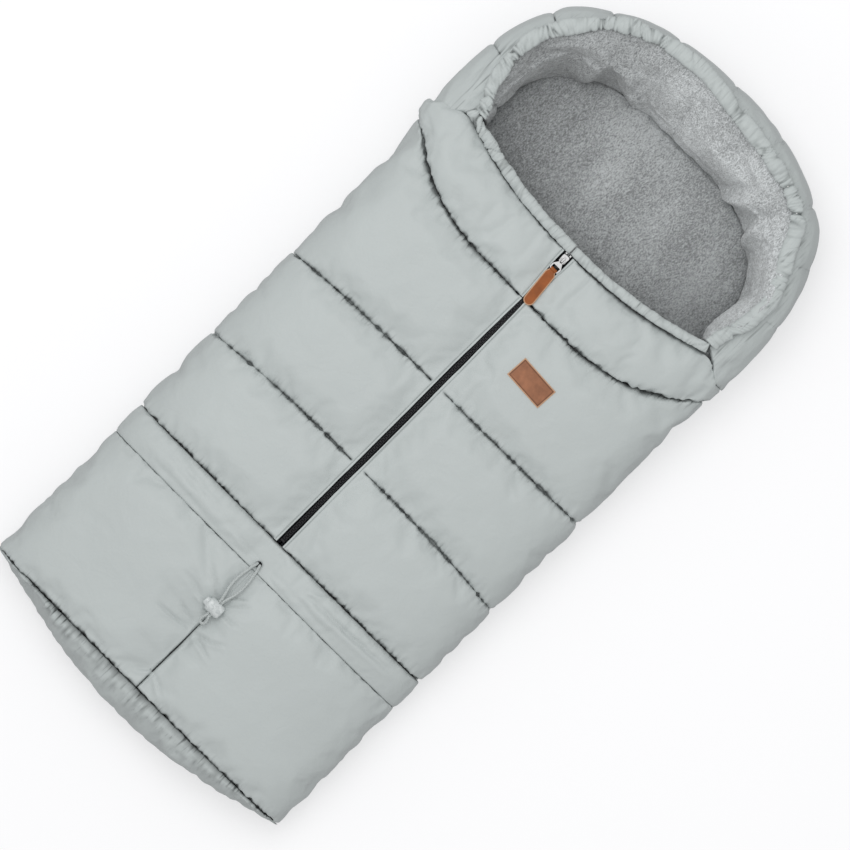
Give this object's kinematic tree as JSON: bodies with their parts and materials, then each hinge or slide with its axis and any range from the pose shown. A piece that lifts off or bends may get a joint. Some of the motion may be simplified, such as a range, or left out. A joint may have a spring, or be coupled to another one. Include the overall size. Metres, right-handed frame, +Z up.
{
  "type": "winter footmuff",
  "caption": "Quilted winter footmuff with a gathered hood, fleece lining, centre zip with leather tab, foot drawcord with lock, and folding front flaps.",
  "frame": {"origin": "middle of the length and width, on the underside that the bag lies on", "axes": "+X across to the side with the leather patch, +Y from the foot to the head, +Z up through the front"},
  "size_m": [0.4882, 1.0441, 0.1132],
  "materials": {
    "quilt_fabric": "smooth woven nylon, light grey with a green tint",
    "fleece": "short grey pile",
    "zip_tape": "black woven tape",
    "zip_teeth": "black moulded teeth",
    "zip_metal": "bright die-cast metal",
    "leather": "tan brown, bare",
    "cord": "braided grey cord",
    "lock_plastic": "pale translucent grey",
    "spring_steel": "bright wire",
    "elastic": "white covered elastic"
  },
  "bodies": {
    "bag": {"back_shell": "quilt_fabric", "back_lining": "fleece", "front_left_side": "quilt_fabric", "front_right_side": "quilt_fabric", "collar_left_side": "quilt_fabric", "collar_right_side": "quilt_fabric", "front_lining_left_side": "fleece", "front_lining_right_side": "fleece", "cord_casing": "quilt_fabric", "foot_left": "quilt_fabric", "foot_right": "quilt_fabric", "foot_lining": "fleece", "foot_gusset": "quilt_fabric", "hood_wall": "quilt_fabric", "hood_lining": "fleece", "hood_hem": "quilt_fabric", "hood_elastic": "elastic", "zip_bottom_stop": "zip_teeth", "cord_eyelet": "zip_metal", "drawcord": "cord"},
    "left_flap": {"front_left_flap": "quilt_fabric", "collar_left_flap": "quilt_fabric", "front_lining_left_flap": "fleece", "hem_left": "quilt_fabric", "zip_tape_left": "zip_tape", "zip_teeth_left": "zip_teeth", "zip_top_stop_left": "zip_metal"},
    "right_flap": {"front_right_flap": "quilt_fabric", "collar_right_flap": "quilt_fabric", "front_lining_right_flap": "fleece", "hem_right": "quilt_fabric", "zip_tape_right": "zip_tape", "zip_teeth_right": "zip_teeth", "zip_top_stop_right": "zip_metal", "leather_patch": "leather"},
    "slider": {"slider_body": "zip_metal"},
    "puller": {"zip_puller": "zip_metal"},
    "tab": {"leather_tab": "leather"},
    "lock": {"lock_barrel": "lock_plastic", "lock_spring": "spring_steel"},
    "button": {"lock_button": "lock_plastic"}
  },
  "joints": [
    {"name": "left_flap_fold", "type": "hinge", "parent": "bag", "child": "left_flap", "pos_m": [0, -0.235, 0.108], "axis": [0.3698, -0.9291, 0], "range_deg": [0, 120], "deforming": ["zip_tape_left", "zip_teeth_left"]},
    {"name": "right_flap_fold", "type": "hinge", "parent": "bag", "child": "right_flap", "pos_m": [0, -0.235, 0.108], "axis": [0.3698, 0.9291, 0], "range_deg": [0, 120], "deforming": ["zip_tape_right", "zip_teeth_right"]},
    {"name": "zip_slide", "type": "slide", "parent": "right_flap", "child": "slider", "axis": [0, -1, 0], "range_m": [0, 0.46]},
    {"name": "puller_hinge", "type": "hinge", "parent": "slider", "child": "puller", "pos_m": [0, 0.231, 0.0996], "axis": [-1, 0, 0], "range_deg": [0, 120]},
    {"name": "tab_hinge", "type": "hinge", "parent": "puller", "child": "tab", "pos_m": [0, 0.214, 0.0996], "axis": [-1, 0, 0], "range_deg": [0, 60]},
    {"name": "lock_slide", "type": "slide", "parent": "bag", "child": "lock", "axis": [0, 0.9987, 0.0519], "range_m": [-0.01, 0.05], "deforming": ["drawcord"]},
    {"name": "lock_press", "type": "slide", "parent": "lock", "child": "button", "axis": [1, 0, 0], "range_m": [0, 0.002], "stiffness_N_per_m": 300, "springref_m": -0.002, "deforming": ["lock_spring"]}
  ]
}
